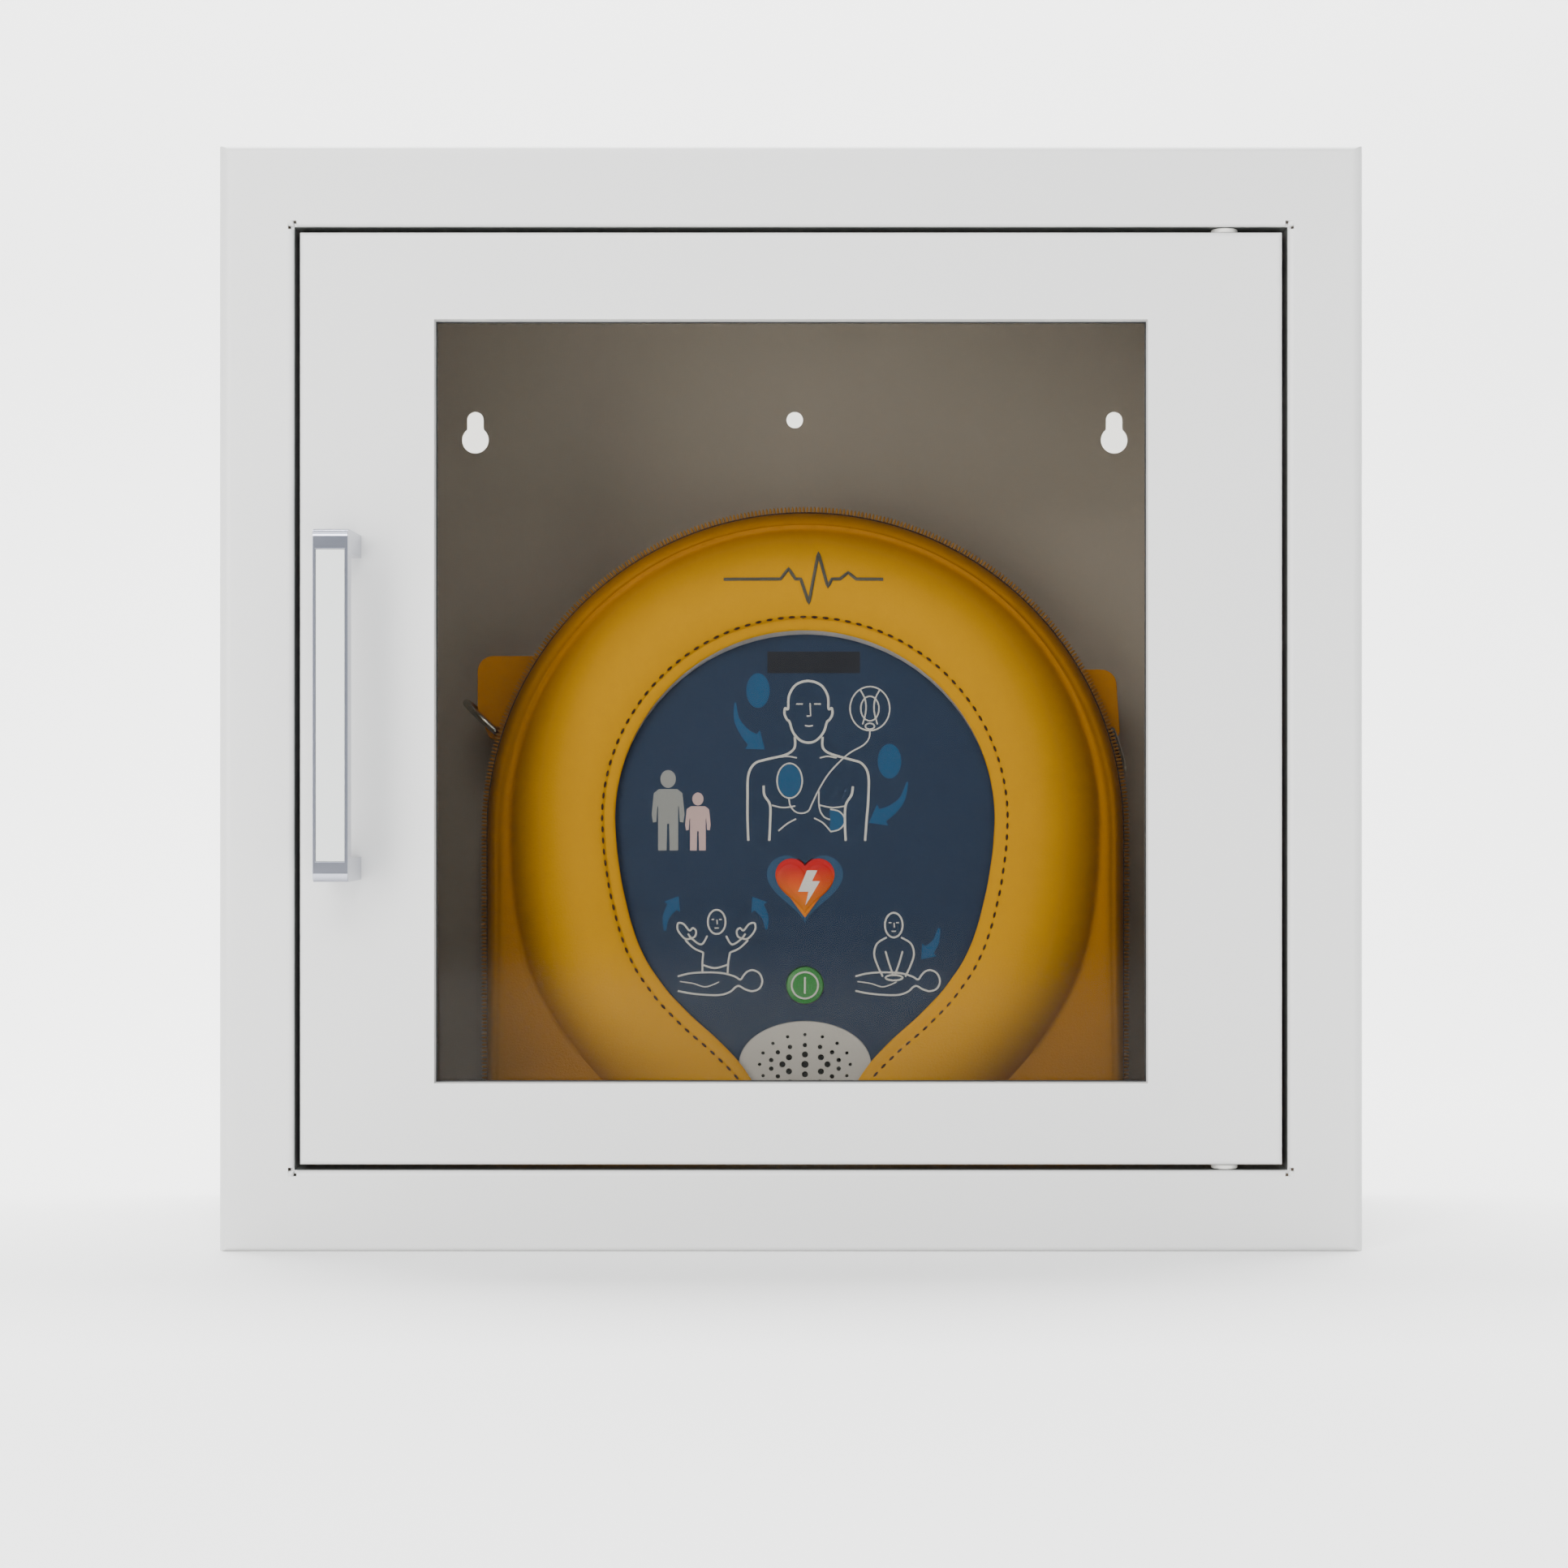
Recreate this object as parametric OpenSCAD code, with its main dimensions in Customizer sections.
// Wall cabinet with a glazed door, holding a defibrillator in its zipped carry case.
// X runs right along the front, Y runs back into the wall, Z runs up.
// The origin is the middle of the wall face. The front of the cabinet looks along -Y.

/* [Cabinet] */
// Width of the cabinet over its sides
cab_w = 400; // [380:1:480]
// Height of the cabinet
cab_h = 386; // [372:1:463]
// Depth from the wall to the front face
cab_d = 160; // [150:1:192]
// Thickness of the sheet steel
sheet = 1.2; // [1:0.1:1.5]
// Bend radius of the upright front edges
edge_r = 5; // [3:0.5:6]
// Bend radius of the top and bottom front edges
edge_small_r = 2.5; // [2:0.5:4]
// Width of the front frame beside the door
frame_side = 26.5; // [24:0.5:32]
// Height of the front frame above and below the door
frame_end = 28.25; // [26:0.25:34]
// Depth of the lip that folds in around the door opening
lip_d = 18; // [17:1:21]
// Depth of the flange around the back panel
back_flange = 15; // [10:1:20]

/* [Wall fixings] */
// Distance between the two keyholes
keyhole_span = 255; // [213:1:306]
// Height of the keyholes above the middle of the cabinet
keyhole_z = 107.5; // [96:0.5:110]
// Radius of the keyhole where the screw head passes
keyhole_head_r = 5.3; // [4.5:0.1:6.4]
// Radius of the keyhole slot where the shank hangs
keyhole_slot_r = 3.25; // [2.7:0.05:3.9]
// Rise from the head hole to the slot end
keyhole_rise = 8; // [7:0.5:10]

/* [Door] */
// Gap between the door and the frame
door_gap = 2; // [1.8:0.1:2.4]
// Depth of the door pan
door_d = 16; // [15:0.5:17]
// Bend radius of the edges of the door
door_r = 2; // [1.5:0.1:2.4]
// Width of the window
window_w = 249; // [208:1:262]
// Height of the window
window_h = 266.5; // [222:0.5:270]
// Height of the door panel above the window
window_top = 30.5; // [29:0.5:36]
// Depth of the lip folded in around the window
window_lip = 6; // [5:0.5:6.5]
// Thickness of the window pane
pane_t = 3; // [2.5:0.5:3.5]
// How far the pane reaches past the window on each side
pane_over = 10; // [8.5:0.5:12]
// Thickness of the gasket under the pane
gasket_t = 1; // [0.8:0.1:1.2]

/* [Hinge] */
// Distance from the hinge axis to the hinge side of the door
hinge_inset = 19.5; // [18:0.5:23]
// Depth of the hinge axis behind the front face
hinge_depth = 7; // [6:0.5:7.5]
// Radius of the hinge pins
hinge_pin_r = 2.5; // [2:0.1:3]
// Radial clearance of the pins in their blocks
hinge_play = 0.06; // [0.04:0.01:0.1]
// Height of the nylon hinge blocks
hinge_block_h = 12; // [10:0.5:15]

/* [Handle] */
// Length of the handle
handle_len = 120; // [100:1:144]
// Width of the handle
handle_w = 12; // [10:0.5:14.5]
// How far the handle stands out from the door
handle_out = 32; // [27:0.5:38]
// Thickness of the grip bar
handle_bar_t = 8; // [7:0.5:10]
// Height of each foot of the handle
handle_foot = 8; // [7:0.5:10]
// Length of the inlay in the front of the handle
inlay_len = 106; // [90:1:110]
// Width of the inlay
inlay_w = 10; // [8.5:0.1:10]
// Distance from the free edge of the door to the middle of the handle
handle_inset = 15.7; // [14:0.1:18]

/* [Carry case] */
// Width of the case
case_w = 242; // [232:1:290]
// Height of the case
case_h = 265; // [258:1:300]
// Depth of the back half of the case, behind the zip
case_back_d = 36; // [30:1:43]
// Depth of the front half of the case, up to its ledge
case_front_d = 30; // [26:1:34]
// Height of the padded ring above the ledge
pad_rise = 14; // [11:0.5:17]
// Thickness of the moulded wall
case_wall = 5; // [4:0.5:6]
// Gap between the case and the back panel
case_stand = 12.8; // [11:0.1:16]
// Distance from the middle of the cabinet to the middle of the case
case_shift = 4.5; // [3:0.1:6]
// Radius of the round top of the opening in the front cover
view_r = 70; // [62:0.5:74]
// Distance from the middle of the opening to the bottom of its oval
view_drop = 95; // [84:0.5:98]
// Half the width of the neck of the opening
neck_r = 17; // [14:0.5:18]
// Thickness of the clear film
film_t = 0.5; // [0.4:0.05:0.6]

/* [Defibrillator] */
// Width of the defibrillator
aed_w = 184; // [175:1:188]
// Height of the defibrillator
aed_h = 202; // [190:1:206]
// Thickness of the defibrillator
aed_d = 48; // [47:0.5:49]
// Wall thickness of the housings
aed_wall = 2.5; // [2:0.1:2.8]
// Width of the shock button
heart_w = 22; // [18.5:0.5:25]
// Radius of the power button
power_r = 6.75; // [5.6:0.05:8]
// Travel of both buttons
button_travel = 0.8; // [0.6:0.05:0.8]
// Half the width of the speaker grille
grille_a = 24.5; // [22:0.5:27]
// Half the height of the speaker grille
grille_b = 16; // [14.5:0.5:17.5]

/* [Hidden] */
$fn = 48;
eps = 0.01;

// Door opening and door
open_w = cab_w - 2 * frame_side;
open_h = cab_h - 2 * frame_end;
door_w = open_w - 2 * door_gap;
door_h = open_h - 2 * door_gap;
front_y = -cab_d;
door_back_y = front_y + door_d;
roll_r = 2;                       // roll of the sheet into the lip around the opening
window_z = door_h / 2 - window_top - window_h / 2;
pane_w = window_w + 2 * pane_over;
pane_h = window_h + 2 * pane_over;
gasket_y = front_y + window_lip;  // front face of the gasket
pane_y = gasket_y + gasket_t;     // front face of the pane
clip_w = 16;                      // window clips
clip_reach = 8;
clip_foot = 12;
clip_t = 1.5;
clip_screw_r = 2;
clip_inset = 45;                  // from the corner of the window to the nearest clip

// Hinge
hinge_x = door_w / 2 - hinge_inset;
hinge_y = front_y + hinge_depth;
pin_head_r = 4.5;
pin_head_t = 2;
washer_r = 4.6;
washer_t = 1.6;
pin_seat = 0.05;                  // radial clearance of a pin in its seat on the frame
block_w = 15;
block_d = 10;
block_gap = 0.9;                   // clears the bend behind the front sheet

// Handle
handle_x = -door_w / 2 + handle_inset;
handle_z = -3.2;
handle_pitch = handle_len - handle_foot;
handle_corner = 3;
inlay_t = 1.2;
screw_m4_r = 2;
screw_gap = 0.2;
thread_depth = 12;
head_r = 4;
head_t = 2.4;

// Magnetic catch on the free side of the door
catch_h = 46;
catch_w = 13;
catch_deep = 13;
catch_z = 0;
catch_gap = 0.3;
strike_t = 1.5;
strike_h = 40;
strike_w = 12;

// Stop tabs above the door
stop_t = 1.2;
stop_drop = 8;
stop_deep = 12;
stop_gap = 0.4;
stop_xs = [-120, 111];
stop_step = lip_d - door_d - stop_gap; // from the front of a tab back to the lip

// Carry case
case_r = case_w / 2;
case_bottom = -cab_h / 2 + sheet + 0.01;
arch_z = case_bottom + case_h - case_r;
case_back_y = -sheet - case_stand;
seam_y = case_back_y - case_back_d;
ledge_y = seam_y - case_front_d;
pad_top_y = ledge_y - pad_rise;
seam_gap = 0.4;
corner_r = 18;                    // lower corners of the case
ledge_w = 12.5;                   // width of the flat ledge around the padded ring
pad_a = case_r - ledge_w;
pad_drop = case_h - case_r - 9;   // the padded ring ends this far below the arch centre
view_rise = 148.5;                // middle of the opening above the bottom of the case
view_z = case_bottom + view_rise;
neck_end = view_z - view_drop - 14;

// Defibrillator
aed_top = 79;                     // rise of the housing above the middle of the view
aed_bottom_z = view_z + aed_top - aed_h;
aed_oval = 140;                   // lower half axis of the oval that the flat foot cuts off
aed_front_y = ledge_y - 4;
aed_back_y = aed_front_y + aed_d;
split_y = aed_front_y + 24;
seal_t = 1;
aed_gap = 0.4;                    // clearance around the housing in the foam
overlay_t = 0.6;
overlay_grow = 1.5;               // how far the overlay reaches behind the edge of the opening
overlay_drop = 2.3;
film_gap = 1.2;                   // clear space between the overlay and the film
film_y = aed_front_y - overlay_t - film_gap;
heart_z = view_z - 25.3;
power_z = view_z - 61.5;
grille_z = view_z - 91;
button_proud = 0.7;
button_gap = 0.4;
stem_r = 3;
board_t = 1.6;
board_y = aed_front_y + 10;       // back face of the board
board_side = 24;                  // from the side of the housing to the board
board_w = aed_w - 2 * board_side;
board_h = 100;
board_z = view_z + 2 - 22;
dome_h = 0.9;
dome_r = 5;
spacer_r = 3.2;
spacer_in = 12;                   // from the edge of the board to its spacers
spacer_x = board_w / 2 - spacer_in;
spacer_xs = [-spacer_x, spacer_x];
spacer_zs = [-38, 34];

// Energy store behind the board
cap_r = 16;
cap_len = 74;
cap_z = view_z + 46;
core_w = 34;
core_h = 30;
core_d = 26;
relay_w = 28;
relay_h = 24;
relay_d = 20;

// Battery and pad cartridge
pak_w = 80;
pak_h = 74;
pak_d = 27;
pak_wall = 1.5;
pak_gap = 0.3;
pak_back_y = aed_back_y - aed_wall - pak_gap;
cell_r = 8.4;
cell_h = 34;
pad_w = 72;
pad_h = 60;
pad_t = 1.4;
tab_w = 34;
tab_h = 4;

// Zip, tabs and rings
zip_r = 2.2;
zip_w = 3.4;
slider_z = case_bottom + 32;
slider_w = 9;
slider_h = 14;
slider_t = 3.2;
pull_w = 6;
pull_len = 26;
pull_t = 1.4;
tab_y = seam_y + 7;               // front face of the strap tabs
tab_deep = 20;
tab_corner_r = 6;                 // upper outer corner of a tab
tab_side_r = 5;                   // its outer side, above the fold
tab_side_up = 9.5;
tab_root_r = 4;                   // its upper end, in the seam of the case
tab_root = 22;
tab_fold_r = 3.4;                 // its fold around the bar of the ring
tab_left_out = 5.6;               // how far each tab stands out from the case
tab_left_top = arch_z + 67.4;
tab_right_out = -0.9;
tab_right_top = arch_z + 62.2;
ring_wire = 1.4;
ring_arm = 4;
ring_seat = 0.25;
ring_left_in = 1.5;               // bars of the rings, inward from the sides of the case
ring_right_in = 3.1;
ring_rise = 38.5;                 // and above the middle of its arch
ring_left_x = case_shift - case_r + ring_left_in;
ring_left_z = arch_z + ring_rise;
ring_right_x = case_shift + case_r - ring_right_in;
ring_right_z = arch_z + ring_rise;
ring_left_tilt = 138;
ring_right_tilt = -70;

// Sheet standing in the XZ plane, with its back face at y
module slab(y, t) {
    translate([0, y, 0]) rotate([90, 0, 0]) linear_extrude(t) children();
}

// Round bar along Y from y0 back to y1
module bar_y(r, y0, y1) {
    translate([0, y1, 0]) rotate([90, 0, 0]) cylinder(r = r, h = y1 - y0);
}

module round_rect(w, h, r) {
    square([w - 2 * r, h], center = true);
    square([w, h - 2 * r], center = true);
    for (sx = [-1, 1], sz = [-1, 1]) translate([sx * (w / 2 - r), sz * (h / 2 - r)]) circle(r);
}

// Outline with its two front corners rounded, from y = -d to y = 0
module bent_outline(w, d, r) {
    translate([-w / 2, -d + r]) square([w, d - r]);
    translate([-w / 2 + r, -d]) square([w - 2 * r, d / 2]);
    for (s = [-1, 1]) translate([s * (w / 2 - r), -d + r]) circle(r);
}

// Box open to nothing, with rounded upright front edges and rounded top and bottom front edges
module bent_box(w, h, d, r_side, r_end) {
    intersection() {
        translate([0, 0, -h / 2]) linear_extrude(h) bent_outline(w, d, r_side);
        translate([-w / 2, 0, 0]) rotate([90, 0, 90]) linear_extrude(w) side_outline(h, d, r_end);
    }
}

module side_outline(h, d, r) {
    translate([-d + r, -h / 2]) square([d - r, h]);
    translate([-d, -h / 2 + r]) square([d / 2, h - 2 * r]);
    for (s = [-1, 1]) translate([-d + r, s * (h / 2 - r)]) circle(r);
}

// Long wedge that rounds one edge of the opening
module roll_cut(len) {
    linear_extrude(len, center = true) difference() {
        translate([-1, -1]) square(roll_r + 1);
        translate([roll_r, roll_r]) circle(roll_r);
    }
}

// ---------------------------------------------------------------- cabinet

module cabinet_shell() {
    color("whitesmoke") difference() {
        union() {
            difference() {
                bent_box(cab_w, cab_h, cab_d, edge_r, edge_small_r);
                translate([0, 1, 0]) bent_box(cab_w - 2 * sheet, cab_h - 2 * sheet,
                    cab_d - sheet + 1, edge_r - sheet, edge_small_r - sheet);
            }
            slab(front_y + lip_d, lip_d) square([open_w + 2 * sheet, open_h + 2 * sheet], center = true);
        }
        slab(front_y + lip_d + 1, lip_d + 2) square([open_w, open_h], center = true);
        for (s = [-1, 1]) {
            translate([0, front_y, s * open_h / 2]) rotate([0, 90, 0]) rotate(s > 0 ? 90 : 0)
                roll_cut(open_w + 2 * roll_r);
            translate([s * open_w / 2, front_y, 0]) mirror([s > 0 ? 0 : 1, 0, 0])
                roll_cut(open_h + 2 * roll_r);
        }
        translate([hinge_x, hinge_y, 0])
            cylinder(r = hinge_pin_r + pin_seat, h = cab_h - 2 * sheet - 2, center = true);
    }
}

module keyhole() {
    circle(keyhole_head_r);
    translate([-keyhole_slot_r, 0]) square([2 * keyhole_slot_r, keyhole_rise]);
    translate([0, keyhole_rise]) circle(keyhole_slot_r);
}

module back_panel() {
    panel_w = cab_w - 2 * sheet;
    panel_h = cab_h - 2 * sheet;
    notch = back_flange / 2;
    color("lightgray") difference() {
        union() {
            slab(0, sheet) square([panel_w, panel_h], center = true);
            slab(-sheet + eps, back_flange - sheet) difference() {
                square([panel_w, panel_h], center = true);
                square([panel_w - 2 * sheet, panel_h - 2 * sheet], center = true);
                for (sx = [-1, 1], sz = [-1, 1]) translate([sx * panel_w / 2, sz * panel_h / 2])
                    square(2 * notch, center = true);
            }
        }
        for (s = [-1, 1]) translate([s * keyhole_span / 2, 0, keyhole_z]) slab(1, sheet + 2) keyhole();
        translate([0, 0, keyhole_z + keyhole_rise]) bar_y(keyhole_slot_r, -sheet - 1, 1);
    }
}

// Two small plates that hang behind the top edge of the closed door
module door_stop_tabs() {
    color("silver") for (x = stop_xs)
        translate([x - stop_t / 2, door_back_y + stop_gap, open_h / 2 - stop_drop]) {
            cube([stop_t, stop_deep, stop_drop]);
            translate([0, stop_step, 0])
                cube([stop_t, stop_deep - stop_step, stop_drop + sheet + 4]);
            translate([-4, stop_step - 10, stop_drop + sheet])
                cube([8 + stop_t, 10 + stop_deep - (stop_step), stop_t]);
        }
}

// Headed pin through the lip of the frame and into the block on the door, s is 1 on top and -1 below
module hinge_pin(s) {
    lip_z = open_h / 2 + sheet;
    tip_z = door_h / 2 - sheet - hinge_block_h + 1;
    color("white") translate([hinge_x, hinge_y, 0]) mirror([0, 0, s > 0 ? 0 : 1]) {
        translate([0, 0, tip_z]) cylinder(r = hinge_pin_r, h = lip_z - tip_z + eps);
        translate([0, 0, lip_z]) cylinder(r = pin_head_r, h = pin_head_t);
    }
}

module hinge_washers() {
    color("white") for (s = [-1, 1])
        translate([hinge_x, hinge_y, s * (door_h / 2 + door_gap / 2) - washer_t / 2]) difference() {
            cylinder(r = washer_r, h = washer_t);
            translate([0, 0, -1]) cylinder(r = hinge_pin_r + pin_seat, h = washer_t + 2);
        }
}

catch_y = front_y + lip_d + eps;        // front face of the catch housing
strike_y = door_back_y + 0.2;           // rear face of the strike
magnet_proud = catch_y - strike_y - catch_gap;
catch_x = -open_w / 2 - sheet;          // side face that the catch sits against

module catch_bracket() {
    color("silver") difference() {
        translate([catch_x - stop_t, front_y + sheet + 2, catch_z - catch_h / 2 - 3])
            cube([stop_t, lip_d - sheet - 2 + catch_deep + 1, catch_h + 6]);
        for (s = [-1, 1]) translate([catch_x, catch_y + catch_deep / 2, catch_z + s * catch_h * 0.36])
            rotate([0, 90, 0]) cylinder(r = 1.6, h = 4 * stop_t, center = true);
    }
}

module catch_housing() {
    color("gainsboro") difference() {
        translate([catch_x, catch_y, catch_z - catch_h / 2]) cube([catch_w, catch_deep, catch_h]);
        translate([catch_x + 3, catch_y - 1, catch_z - catch_h / 4])
            cube([catch_w - 6, catch_deep - 2, catch_h / 2]);
        for (s = [-1, 1])
            translate([catch_x + catch_w / 2, catch_y + catch_deep / 2, catch_z + s * catch_h * 0.36])
            rotate([0, 90, 0]) cylinder(r = 1.6, h = catch_w + 2, center = true);
    }
}

// Magnet between two pole plates
module catch_magnet() {
    gap = 0.1;
    deep = catch_deep - 4;
    color("dimgray") translate([catch_x + 3 + gap, catch_y - magnet_proud, catch_z - catch_h / 4 + gap]) {
        cube([1, deep, catch_h / 2 - 2 * gap]);
        translate([catch_w - 7 - 2 * gap, 0, 0]) cube([1, catch_deep - 4, catch_h / 2 - 2 * gap]);
        translate([1 - eps, 1, 0])
            cube([catch_w - 8 - 2 * gap + 2 * eps, catch_deep - 6, catch_h / 2 - 2 * gap]);
    }
}

module catch_screws() {
    color("silver") for (s = [-1, 1])
        translate([catch_x - stop_t, catch_y + catch_deep / 2, catch_z + s * catch_h * 0.36])
            rotate([0, 90, 0]) {
            cylinder(r = 1.5, h = stop_t + catch_w);
            translate([0, 0, stop_t + catch_w]) cylinder(r = 2.8, h = 1.6);
        }
}

// ---------------------------------------------------------------- door

module clip_places() {
    for (s = [-1, 1], k = [-1, 1]) {
        translate([s * pane_w / 2, 0, window_z + k * (window_h / 2 - clip_inset)])
            rotate([0, s > 0 ? 0 : 180, 0]) children();
        translate([k * (window_w / 2 - clip_inset), 0, window_z + s * pane_h / 2])
            rotate([0, s > 0 ? -90 : 90, 0]) children();
    }
}

module door_panel() {
    color("whitesmoke") difference() {
        union() {
            difference() {
                translate([0, door_back_y, 0]) bent_box(door_w, door_h, door_d, door_r, door_r);
                translate([0, door_back_y + 1, 0]) bent_box(door_w - 2 * sheet, door_h - 2 * sheet,
                    door_d - sheet + 1, door_r - sheet, door_r - sheet);
            }
            translate([0, 0, window_z]) slab(gasket_y, window_lip - eps)
                square([window_w + 2 * sheet, window_h + 2 * sheet], center = true);
        }
        translate([0, 0, window_z]) slab(gasket_y + 1, window_lip + 2)
            square([window_w, window_h], center = true);
        for (s = [-1, 1]) translate([handle_x, 0, handle_z + s * handle_pitch / 2])
            bar_y(screw_m4_r + screw_gap, front_y - 1, front_y + sheet + 1);
        translate([hinge_x, hinge_y, 0])
            cylinder(r = hinge_pin_r + 2 * hinge_play, h = door_h + 2, center = true);
    }
}

module window_gasket() {
    gasket_w = 5;
    color("black") translate([0, 0, window_z]) slab(pane_y, gasket_t) difference() {
        square([window_w + 2 * gasket_w, window_h + 2 * gasket_w], center = true);
        square([window_w - 1, window_h - 1], center = true);
    }
}

module window_pane() {
    color("lightgray", 0.3) translate([0, 0, window_z]) slab(pane_y + pane_t, pane_t)
        square([pane_w, pane_h], center = true);
}

// Stepped clip: its toe holds the edge of the pane and its foot is screwed to the door sheet
module window_clip() {
    foot_y = front_y + sheet;
    toe_y = pane_y + pane_t;
    play = 0.3;
    difference() {
        union() {
            translate([play, foot_y, -clip_w / 2]) cube([clip_foot, clip_t, clip_w]);
            translate([play, foot_y, -clip_w / 2]) cube([clip_t, toe_y + clip_t - foot_y, clip_w]);
            translate([-clip_reach, toe_y, -clip_w / 2]) cube([clip_reach + play + clip_t, clip_t, clip_w]);
        }
        translate([clip_foot / 2 + 2, 0, 0])
            bar_y(clip_screw_r + screw_gap, foot_y - 1, foot_y + clip_t + 1);
    }
}

module window_clips() {
    color("silver") clip_places() window_clip();
}

module window_clip_screws() {
    foot_y = front_y + sheet;
    color("gray") clip_places() translate([clip_foot / 2 + 2, 0, 0]) {
        bar_y(clip_screw_r, foot_y, foot_y + clip_t + 1.5);
        translate([0, foot_y + clip_t + 3, 0]) rotate([90, 0, 0]) cylinder(r = 3.6, h = 3, $fn = 6);
    }
}

// Nylon block in the corner of the door that turns on the pin
module hinge_block(s) {
    color("white") mirror([0, 0, s > 0 ? 0 : 1])
        translate([hinge_x, hinge_y, door_h / 2 - sheet - hinge_block_h]) difference() {
            translate([-block_w / 2, front_y + sheet + block_gap - hinge_y, 0])
                cube([block_w, block_d, hinge_block_h - eps]);
            translate([0, 0, -1]) cylinder(r = hinge_pin_r + hinge_play, h = hinge_block_h + 2);
        }
}

module handle_bar() {
    color("silver") translate([handle_x, 0, handle_z]) difference() {
        translate([-handle_w / 2, 0, 0]) rotate([90, 0, 90]) linear_extrude(handle_w) difference() {
            translate([front_y - handle_out / 2, 0]) union() {
                translate([handle_corner / 2, 0])
                    square([handle_out - handle_corner, handle_len], center = true);
                square([handle_out, handle_len - 2 * handle_corner], center = true);
                for (s = [-1, 1])
                    translate([-handle_out / 2 + handle_corner, s * (handle_len / 2 - handle_corner)])
                    circle(handle_corner);
            }
            translate([front_y - handle_out + handle_bar_t, -handle_len / 2 + handle_foot])
                square([handle_out, handle_len - 2 * handle_foot]);
        }
        slab(front_y - handle_out + inlay_t, inlay_t + 1) square([inlay_w, inlay_len], center = true);
        for (s = [-1, 1]) translate([0, 0, s * handle_pitch / 2])
            bar_y(screw_m4_r, front_y - thread_depth, front_y + 1);
    }
}

module handle_inlay() {
    gap = 0.1;
    color("lightgray") translate([handle_x, 0, handle_z])
        slab(front_y - handle_out + inlay_t - eps, inlay_t - 0.3)
            square([inlay_w - 2 * gap, inlay_len - 2 * gap], center = true);
}

module handle_screws() {
    color("gray") for (s = [-1, 1]) translate([handle_x, 0, handle_z + s * handle_pitch / 2]) {
        bar_y(screw_m4_r - 0.05, front_y - thread_depth + 2, front_y + sheet);
        difference() {
            bar_y(head_r, front_y + sheet, front_y + sheet + head_t);
            bar_y(1.3, front_y + sheet + 1, front_y + sheet + head_t + 1);
        }
    }
}

strike_x = -door_w / 2 + sheet;

// Angle riveted to the flange of the door, which the magnet holds
module catch_strike() {
    color("gray") difference() {
        union() {
            translate([strike_x, front_y + 5, catch_z - strike_h / 2])
                cube([strike_t, strike_y - front_y - 5, strike_h]);
            translate([strike_x, strike_y - strike_t, catch_z - strike_h / 2])
                cube([strike_w, strike_t, strike_h]);
        }
        for (s = [-1, 1]) translate([strike_x, front_y + door_d / 2, catch_z + s * strike_h / 3])
            rotate([0, 90, 0]) cylinder(r = 1.6, h = 4 * strike_t, center = true);
    }
}

module strike_rivets() {
    color("silver") for (s = [-1, 1])
        translate([strike_x, front_y + door_d / 2, catch_z + s * strike_h / 3])
        rotate([0, 90, 0]) {
            cylinder(r = 1.5, h = strike_t);
            translate([0, 0, strike_t]) cylinder(r = 2.8, h = 1);
        }
}

// ---------------------------------------------------------------- carry case

// Arch with rounded lower corners, drawn smaller by in
module case_outline(in) {
    intersection() {
        translate([case_shift, arch_z]) circle(case_r - in, $fn = 96);
        translate([case_shift - case_r, arch_z - 1]) square(case_w);
    }
    translate([case_shift - case_r + in, case_bottom + corner_r])
        square([case_w - 2 * in, arch_z - case_bottom - corner_r]);
    translate([case_shift - case_r + corner_r, case_bottom + in])
        square([case_w - 2 * corner_r, arch_z - case_bottom - in]);
    for (s = [-1, 1]) translate([case_shift + s * (case_r - corner_r), case_bottom + corner_r])
        circle(corner_r - in);
}

// Oval with unequal halves
function egg(a, top, drop, n = 72) = [for (i = [0:n - 1])
    let (t = 360 * i / n) [a * cos(t), (sin(t) > 0 ? top : drop) * sin(t)]];

module pad_outline(in) {
    translate([case_shift, arch_z]) polygon(egg(pad_a - in, pad_a - in, pad_drop - in));
}

// Opening in the front cover: an oval that runs down into a short neck
module view_outline(grow) {
    translate([case_shift, view_z]) offset(r = grow) offset(r = -12) offset(delta = 12) union() {
        polygon(egg(view_r, view_r, view_drop));
        translate([-neck_r, neck_end - view_z + neck_r]) square([2 * neck_r, 40]);
        translate([0, neck_end - view_z + neck_r]) circle(neck_r);
    }
}

module aed_outline(in) {
    translate([case_shift, view_z]) intersection() {
        polygon(egg(aed_w / 2 - in, aed_top - in, aed_oval - in));
        translate([-aed_w, aed_bottom_z + in - view_z]) square([2 * aed_w, 2 * aed_h]);
    }
}

module case_back_shell() {
    color("goldenrod") difference() {
        hull() {
            slab(case_back_y, 1) case_outline(9);
            slab(case_back_y - 3, 1) case_outline(3);
            slab(case_back_y - 10, case_back_d - 10) case_outline(0);
        }
        slab(case_back_y - case_wall, case_back_d) case_outline(case_wall);
    }
}

module case_front_cover() {
    color("gold") difference() {
        union() {
            hull() {
                slab(seam_y - seam_gap, case_front_d - 9) case_outline(0);
                slab(ledge_y + 4, 1) case_outline(2.5);
                slab(ledge_y + 1, 1) case_outline(8);
            }
            hull() {
                slab(ledge_y + 1, 1) pad_outline(0);
                slab(ledge_y - pad_rise * 0.45, 1) pad_outline(3);
                slab(pad_top_y + 3, 1) pad_outline(10);
                slab(pad_top_y + 1, 1) pad_outline(18);
            }
        }
        slab(seam_y + 1, case_front_d - case_wall + 1) case_outline(case_wall);
        slab(seam_y, seam_y - aed_front_y + 0.6) aed_outline(-aed_gap);
        slab(seam_y, seam_y - film_y + film_t) view_outline(8);
        slab(seam_y, 200) view_outline(0);
        hull() {
            slab(film_y - 1.5, 1) view_outline(2);
            slab(pad_top_y, 1) view_outline(10);
        }
    }
}

module case_window_film() {
    color("lightcyan", 0.3) slab(film_y, film_t) view_outline(7.5);
}

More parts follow.
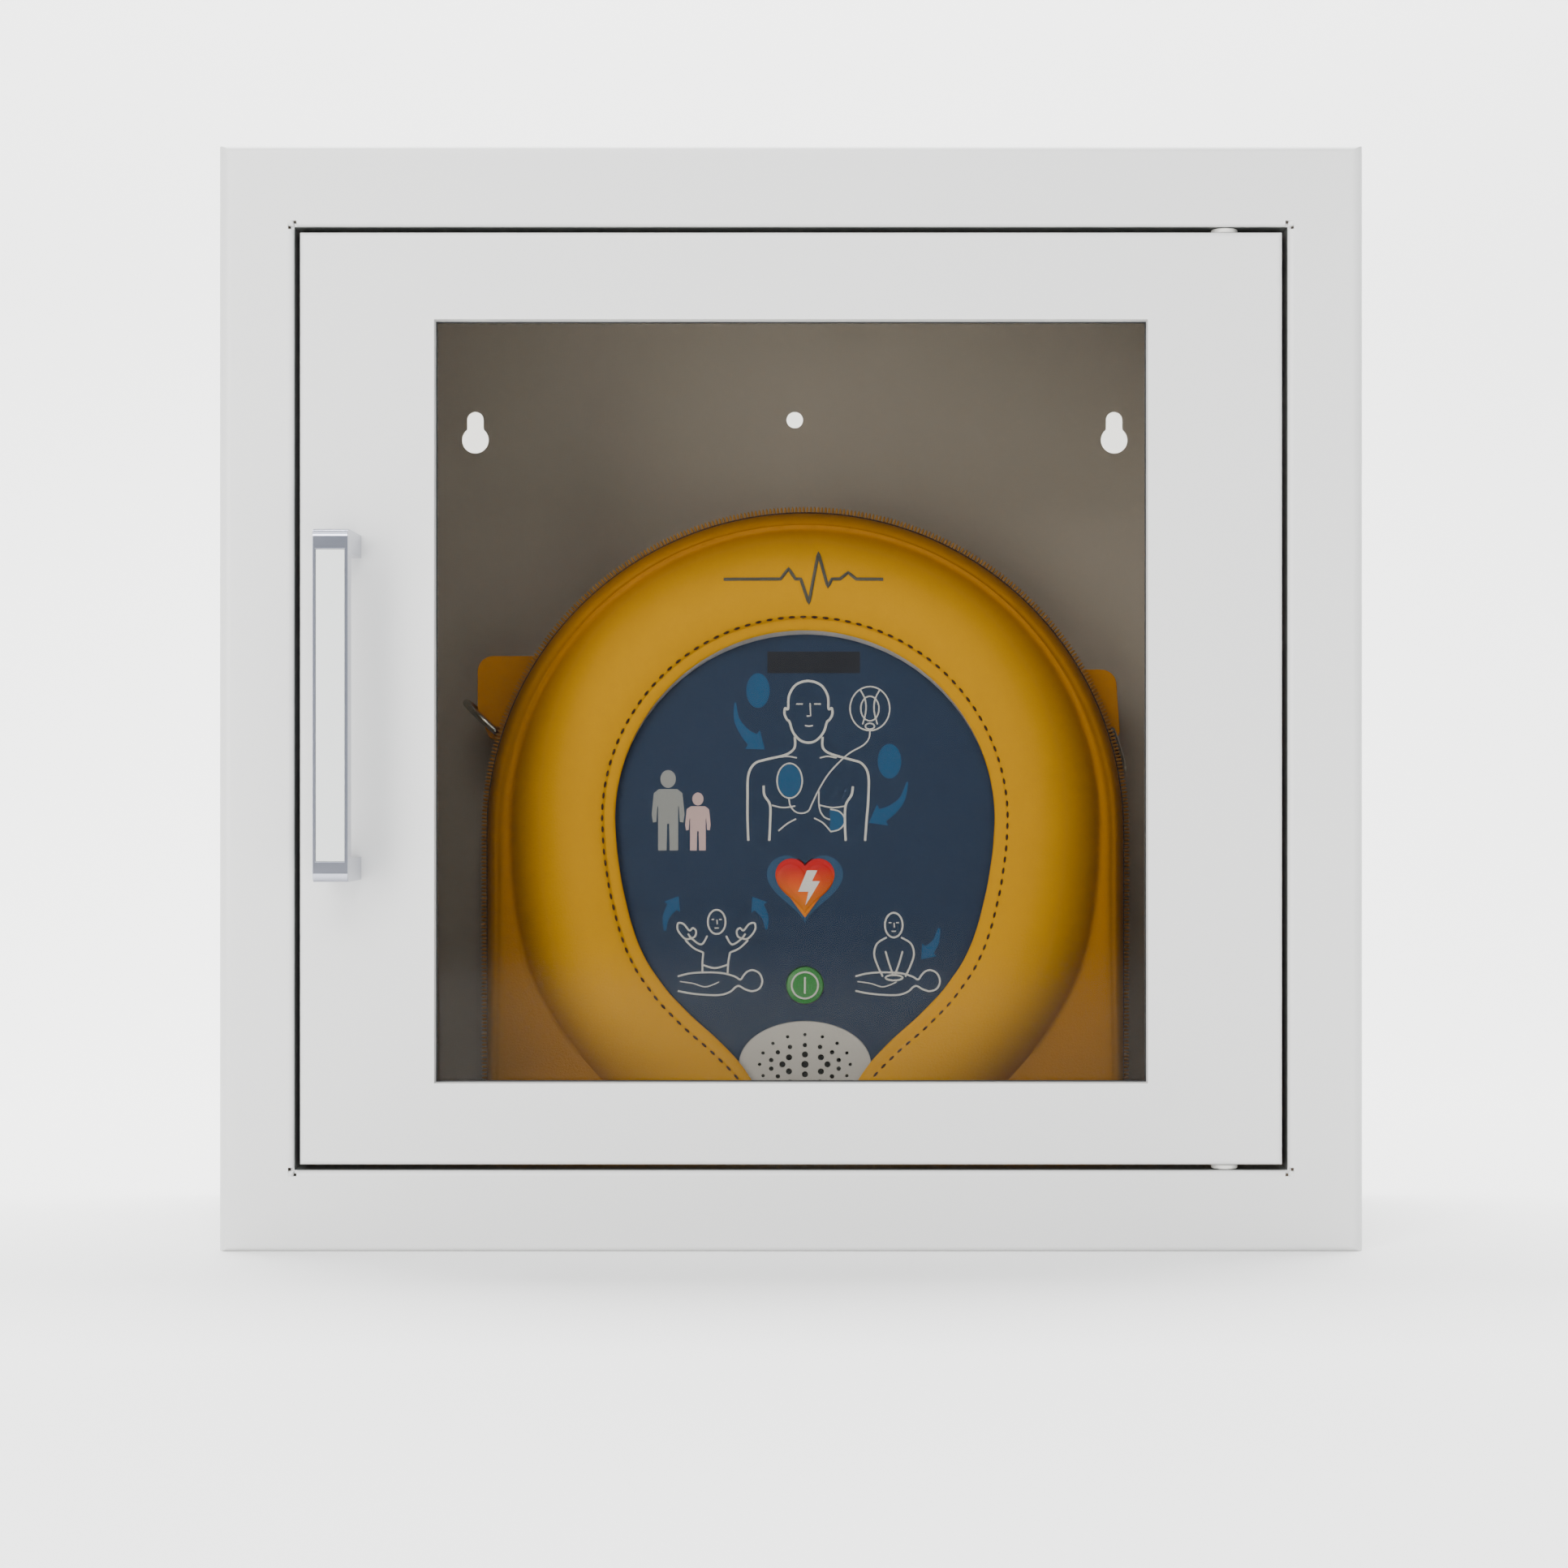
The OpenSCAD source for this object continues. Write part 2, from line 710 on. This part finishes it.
// Coil zip that runs up one side of the case, over the arch and down the other side
module case_zip() {
    zip_end = case_bottom + 22;
    color("darkgoldenrod") translate([0, seam_y - seam_gap / 2 + zip_w / 2, 0]) {
        slab(0, zip_w) difference() {
            union() {
                translate([case_shift, arch_z]) circle(case_r + zip_r, $fn = 96);
                translate([case_shift - case_r - zip_r, zip_end])
                    square([case_w + 2 * zip_r, arch_z - zip_end]);
            }
            translate([case_shift, arch_z]) circle(case_r + eps, $fn = 96);
            translate([case_shift - case_r - eps, zip_end - 5])
                square([case_w + 2 * eps, arch_z - zip_end + 5]);
        }
    }
}

slider_x = case_shift + case_r + zip_r + 0.4;

module zip_slider() {
    wing = 1.2;
    color("dimgray") translate([slider_x, seam_y - seam_gap / 2, slider_z]) difference() {
        union() {
            translate([0, -slider_w / 2, -slider_h / 2]) cube([slider_t - wing, slider_w, slider_h]);
            for (k = [-1, 1]) translate([-zip_r, k * (zip_w / 2 + 0.9) - 0.5, -slider_h / 2])
                cube([zip_r + eps, 1, slider_h]);
            translate([slider_t - wing - eps, -1.5, -5]) cube([3.4, 3, 3]);
            translate([slider_t - wing - eps, -1.5, 2]) cube([3.4, 3, 3]);
            translate([slider_t + 1, -1.5, -5]) cube([wing, 3, 10]);
        }
    }
}

pull_x = slider_x + 3.1;
pull_z = slider_z + 0.6;

// Pull that hangs from the bridge of the slider, with an eye around the bridge
module zip_pull() {
    color("dimgray") translate([pull_x, seam_y - seam_gap / 2, pull_z]) difference() {
        union() {
            translate([-0.6, -pull_w / 2, -pull_len]) cube([1.2, pull_w, pull_len]);
        }
        translate([-2, -1.9, -8.6]) cube([6, 3.8, 7]);
    }
}

// Folded webbing tab on the side of the case, wrapped around the bar of its ring, s is 1 on the right
module strap_tab(s, ring_x, ring_z, out, top) {
    color("orange") difference() {
        slab(tab_y + tab_deep, tab_deep) translate([case_shift, 0]) mirror([s > 0 ? 0 : 1, 0]) hull() {
            translate([case_r + out - tab_corner_r, top - tab_corner_r]) circle(tab_corner_r, $fn = 32);
            translate([case_r - tab_root, top - tab_root_r]) circle(tab_root_r, $fn = 32);
            translate([abs(ring_x - case_shift), ring_z]) circle(tab_fold_r, $fn = 32);
            translate([case_r + out - tab_side_r, ring_z + tab_side_up]) circle(tab_side_r, $fn = 32);
        }
        slab(0, cab_d) case_outline(-0.05);
        translate([ring_x, 0, ring_z]) bar_y(ring_wire + ring_seat, tab_y - 1, tab_y + tab_deep + 1);
    }
}

module strap_tab_left() {
    strap_tab(-1, ring_left_x, ring_left_z, tab_left_out, tab_left_top);
}

module strap_tab_right() {
    strap_tab(1, ring_right_x, ring_right_z, tab_right_out, tab_right_top);
}

// D ring in the fold of a tab: a straight bar, two short arms and a half-round bow
module d_ring(x, z, tilt) {
    mid_y = tab_y + tab_deep / 2;
    half = tab_deep / 2 + ring_wire + 1.2;
    color("silver") translate([x, mid_y, z]) rotate([0, -tilt, 0]) {
        bar_y(ring_wire, -half, half);
        for (s = [-1, 1]) translate([0, s * half, 0]) {
            sphere(ring_wire, $fn = 32);
            rotate([0, 90, 0]) cylinder(r = ring_wire, h = ring_arm);
        }
        translate([ring_arm - eps, 0, 0]) intersection() {
            translate([0, -half - 5, -5]) cube([half + 10, 2 * half + 10, 10]);
            rotate_extrude($fn = 64) translate([half, 0]) circle(ring_wire, $fn = 24);
        }
    }
}

// Foam that fills the back half of the case around the housing
module foam_cradle() {
    color("dimgray") difference() {
        slab(case_back_y - case_wall - 0.1, case_back_d - case_wall - 0.2) case_outline(case_wall + 0.2);
        slab(aed_back_y + 0.1, 60) aed_outline(-aed_gap);
        translate([case_shift - tab_w / 2 - 4, pak_back_y - pak_d, aed_bottom_z - tab_h - 5])
            cube([tab_w + 8, pak_d, tab_h + 12]);
    }
}

// ---------------------------------------------------------------- defibrillator

// Heart of width w, with its middle at the origin
module heart(w, grow = 0) {
    lobe = w * 0.27;
    offset(r = grow) union() {
        for (s = [-1, 1]) translate([s * (w / 2 - lobe), w * 0.5 - lobe]) circle(lobe);
        polygon([for (p = [[-0.478, 0.145], [0, -0.5], [0.478, 0.145], [0, 0.3]]) w * p]);
        translate([-0.1 * w, 0]) square([0.2 * w, 0.36 * w]);
    }
}

boss_r = 4;
screw_r = 1.4;
boss_top = aed_w / 2 - 34;
boss_side = aed_w / 2 - 12;
boss_low = aed_w / 2 - 26;
boss_places = [[-boss_top, 44], [boss_top, 44], [-boss_side, 0], [boss_side, 0],
    [-boss_low, -60], [boss_low, -60]];

module at_bosses() {
    for (p = boss_places) translate([case_shift + p[0], 0, view_z + p[1]]) children();
}

module aed_back_housing() {
    color("slategray") difference() {
        union() {
            difference() {
                slab(aed_back_y, aed_back_y - split_y - seal_t) aed_outline(0);
                slab(aed_back_y - aed_wall, 60) aed_outline(aed_wall);
            }
            at_bosses() bar_y(boss_r, split_y + seal_t + 0.5, aed_back_y - aed_wall + eps);
        }
        at_bosses() bar_y(screw_r + screw_gap, split_y - 5, aed_back_y + 1);
        at_bosses() bar_y(2.9, aed_back_y - 4, aed_back_y + 1);
        translate([case_shift - pak_w / 2 - pak_gap, pak_back_y - pak_d - pak_gap, aed_bottom_z - 1])
            cube([pak_w + 2 * pak_gap, pak_d + 2 * pak_gap, aed_wall + 2]);
    }
}

module aed_front_housing() {
    color("darkslategray") difference() {
        union() {
            difference() {
                slab(split_y, split_y - aed_front_y) aed_outline(0);
                slab(split_y + 1, split_y - aed_front_y - aed_wall + 1) aed_outline(aed_wall);
            }
            at_bosses() bar_y(boss_r, aed_front_y + aed_wall - eps, split_y);
            translate([case_shift, 0, board_z]) for (x = spacer_xs, z = spacer_zs)
                translate([x, 0, z]) bar_y(spacer_r, aed_front_y + aed_wall - eps, board_y - board_t);
        }
        at_bosses() bar_y(screw_r - 0.1, aed_front_y + aed_wall + 2, split_y + 1);
        translate([case_shift, 0, heart_z]) slab(0, cab_d) heart(heart_w, button_gap);
        translate([case_shift, 0, power_z]) bar_y(power_r + button_gap, -cab_d, 0);
        translate([case_shift, 0, grille_z]) slab(0, cab_d)
            polygon(egg(grille_a - 3, grille_b - 3, grille_b - 3));
        translate([case_shift, 0, board_z]) for (x = spacer_xs, z = spacer_zs)
            translate([x, 0, z]) bar_y(1.2, aed_front_y + aed_wall + 1, board_y);
        translate([case_shift - pak_w / 2 - pak_gap, pak_back_y - pak_d - pak_gap, aed_bottom_z - 1])
            cube([pak_w + 2 * pak_gap, split_y - pak_back_y + pak_d + 2, aed_wall + 2]);
    }
}

// Gasket pressed between the two housings
module aed_seal() {
    color("black") difference() {
        slab(split_y + seal_t, seal_t) difference() {
            aed_outline(0.3);
            aed_outline(aed_wall);
        }
        translate([case_shift - pak_w / 2 - pak_gap, split_y - 5, aed_bottom_z - 1])
            cube([pak_w + 2 * pak_gap, 12, aed_wall + 2]);
    }
}

module front_overlay() {
    color("darkslateblue") difference() {
        slab(aed_front_y, overlay_t) union() {
            translate([0, -overlay_drop]) view_outline(overlay_grow);
            translate([case_shift, grille_z]) polygon(egg(grille_a + 4, grille_b + 4, grille_b + 4));
        }
        translate([case_shift, 0, heart_z]) slab(0, cab_d) heart(heart_w, button_gap);
        translate([case_shift, 0, power_z]) bar_y(power_r + button_gap, -cab_d, 0);
        translate([case_shift, 0, grille_z]) slab(0, cab_d)
            polygon(egg(grille_a + 0.2, grille_b + 0.2, grille_b + 0.2));
    }
}

// Stem, retaining flange and cap share these depths
button_front = aed_front_y - overlay_t - button_proud;
flange_y = aed_front_y + aed_wall + 0.3;
stem_end = board_y - board_t - dome_h - button_travel - 0.1;

module shock_button() {
    color("orangered") translate([case_shift, 0, heart_z]) {
        slab(flange_y + eps, flange_y - button_front) heart(heart_w);
        slab(flange_y + 1, 1) heart(heart_w, 1.5);
        bar_y(stem_r, flange_y + 1 - eps, stem_end);
    }
}

module power_button() {
    color("forestgreen") translate([case_shift, 0, power_z]) {
        bar_y(power_r, button_front, flange_y + eps);
        bar_y(power_r + 1.5, flange_y, flange_y + 1);
        bar_y(stem_r, flange_y + 1 - eps, stem_end);
    }
}

module switch_domes() {
    color("silver") for (z = [heart_z, power_z]) translate([case_shift, 0, z]) {
        bar_y(dome_r, board_y - board_t - 0.3, board_y - board_t);
        bar_y(dome_r * 0.6, board_y - board_t - dome_h, board_y - board_t - 0.3 + eps);
    }
}

// Holes on oval rows that shrink outwards: [half axis x, half axis z, radius, count, first angle]
grille_rows = [[8.4, 3.7, 1.15, 8, 90], [12.9, 7.2, 0.85, 14, 90], [16.9, 11.1, 0.65, 16, 90]];

module speaker_grille() {
    color("lightgray") translate([case_shift, 0, grille_z]) difference() {
        slab(aed_front_y - eps, overlay_t + 0.5) polygon(egg(grille_a, grille_b, grille_b));
        bar_y(1.35, -cab_d, 0);
        for (row = grille_rows, i = [0:row[3] - 1]) let (t = row[4] + 360 * i / row[3])
            translate([row[0] * cos(t), 0, row[1] * sin(t)]) bar_y(row[2], -cab_d, 0, $fn = 24);
    }
}

module speaker_driver() {
    face = aed_front_y + aed_wall + 0.2;
    color("dimgray") translate([case_shift, face, grille_z + 1]) rotate([-90, 0, 0])
        rotate_extrude() polygon([
        [0, 11], [0, 5], [4, 5], [14, 1], [16, 1], [16, 0], [18, 0], [18, 1.5],
        [16.5, 1.5], [10, 7], [10, 11]
    ]);
}

module main_board() {
    color("darkgreen") difference() {
        translate([case_shift - board_w / 2, board_y - board_t, board_z - board_h / 2 + 4])
            cube([board_w, board_t, board_h - 4]);
        translate([case_shift, 0, board_z]) for (x = spacer_xs, z = spacer_zs)
            translate([x, 0, z]) bar_y(1.3, -cab_d, 0);
        at_bosses() bar_y(boss_r + 0.5, -cab_d, 0);
    }
}

// Nylon screws with large heads that hold the board to the posts of the front housing
module board_spacers() {
    color("ivory") translate([case_shift, 0, board_z]) for (x = spacer_xs, z = spacer_zs)
        translate([x, 0, z]) {
        bar_y(1.15, aed_front_y + aed_wall + 2, board_y + eps);
        bar_y(3, board_y, board_y + 2);
    }
}

module shock_capacitor() {
    color("midnightblue") translate([case_shift, board_y + 1 + cap_r, cap_z]) rotate([0, 90, 0]) {
        cylinder(r = cap_r, h = cap_len, center = true);
        for (s = [-1, 1]) translate([s * 6, 0, cap_len / 2 - eps]) cylinder(r = 2, h = 4);
    }
}

module charge_transformer() {
    color("gray") translate([case_shift - 34, board_y + 1, view_z + 4]) {
        difference() {
            translate([-core_w / 2, 0, -core_h / 2]) cube([core_w, core_d, core_h]);
            translate([-core_w / 2 + 6, -1, -core_h / 2 + 6]) cube([core_w - 12, core_d + 2, core_h - 12]);
        }
        translate([0, core_d / 2, 0]) cylinder(r = 7, h = core_h - 11.98, center = true);
    }
}

module discharge_relay() {
    color("black") translate([case_shift + 20, board_y + 1, view_z - 6])
        cube([relay_w, relay_d, relay_h]);
}

// ---------------------------------------------------------------- cartridge

pak_floor = aed_bottom_z;
cell_y = pak_back_y - pak_wall - 0.2 - cell_r;
pads_y = cell_y - cell_r - 1;           // back face of the stacked pads

module cartridge_housing() {
    color("slategray") translate([case_shift - pak_w / 2, pak_back_y - pak_d, pak_floor]) difference() {
        cube([pak_w, pak_d, pak_h]);
        translate([pak_wall, pak_wall, pak_wall])
            cube([pak_w - 2 * pak_wall, pak_d - 2 * pak_wall, pak_h - 2 * pak_wall]);
    }
}

module battery_cells() {
    color("steelblue") for (i = [-1:1], k = [0, 1])
        translate([case_shift + i * (2 * cell_r + 0.4), cell_y,
            pak_floor + pak_wall + 0.4 + k * (cell_h + 1.2)]) {
            cylinder(r = cell_r, h = cell_h - 0.8);
            translate([0, 0, cell_h - 0.8 - eps]) cylinder(r = 3, h = 0.8);
        }
}

module electrode_pads() {
    color("whitesmoke") for (k = [0, 1])
        translate([case_shift, 0, pak_floor + pak_h / 2])
            slab(pads_y - k * (pad_t + 0.3), pad_t) round_rect(pad_w, pad_h, 12);
}

module cartridge_pull_tab() {
    color("limegreen") translate([case_shift - tab_w / 2, pak_back_y - pak_d + 5, pak_floor - tab_h])
        cube([tab_w, pak_d - 12, tab_h]);
}

// Spring contacts above the cartridge
module contact_block() {
    color("gold") translate([case_shift - 20, pak_back_y - pak_d + 6, pak_floor + pak_h + 0.3]) {
        cube([40, 12, 6]);
        for (i = [0:3]) translate([4 + i * 9.6, 4, 6 - eps]) cube([3, 4, 3]);
    }
}

module housing_screws() {
    color("silver") at_bosses() {
        bar_y(screw_r - 0.1, split_y - 11, aed_back_y - 4 + eps);
        bar_y(2.7, aed_back_y - 4, aed_back_y - 1.6);
    }
}

// ---------------------------------------------------------------- nodes

cabinet_shell();
back_panel();
door_stop_tabs();
hinge_pin(1);  // hinge_pin_top
hinge_pin(-1);  // hinge_pin_bottom
hinge_washers();
catch_bracket();
catch_housing();
catch_magnet();
catch_screws();
door_panel();
window_pane();
window_gasket();
window_clips();
window_clip_screws();
hinge_block(1);  // hinge_block_top
hinge_block(-1);  // hinge_block_bottom
handle_bar();
handle_inlay();
handle_screws();
catch_strike();
strike_rivets();
case_back_shell();
case_front_cover();
case_window_film();
case_zip();
zip_slider();
zip_pull();
strap_tab_left();
strap_tab_right();
d_ring(ring_left_x, ring_left_z, ring_left_tilt);  // d_ring_left
d_ring(ring_right_x, ring_right_z, ring_right_tilt);  // d_ring_right
foam_cradle();
aed_back_housing();
aed_front_housing();
aed_seal();
front_overlay();
shock_button();
power_button();
switch_domes();
speaker_grille();
speaker_driver();
main_board();
board_spacers();
shock_capacitor();
charge_transformer();
discharge_relay();
cartridge_housing();
battery_cells();
electrode_pads();
cartridge_pull_tab();
contact_block();
housing_screws();
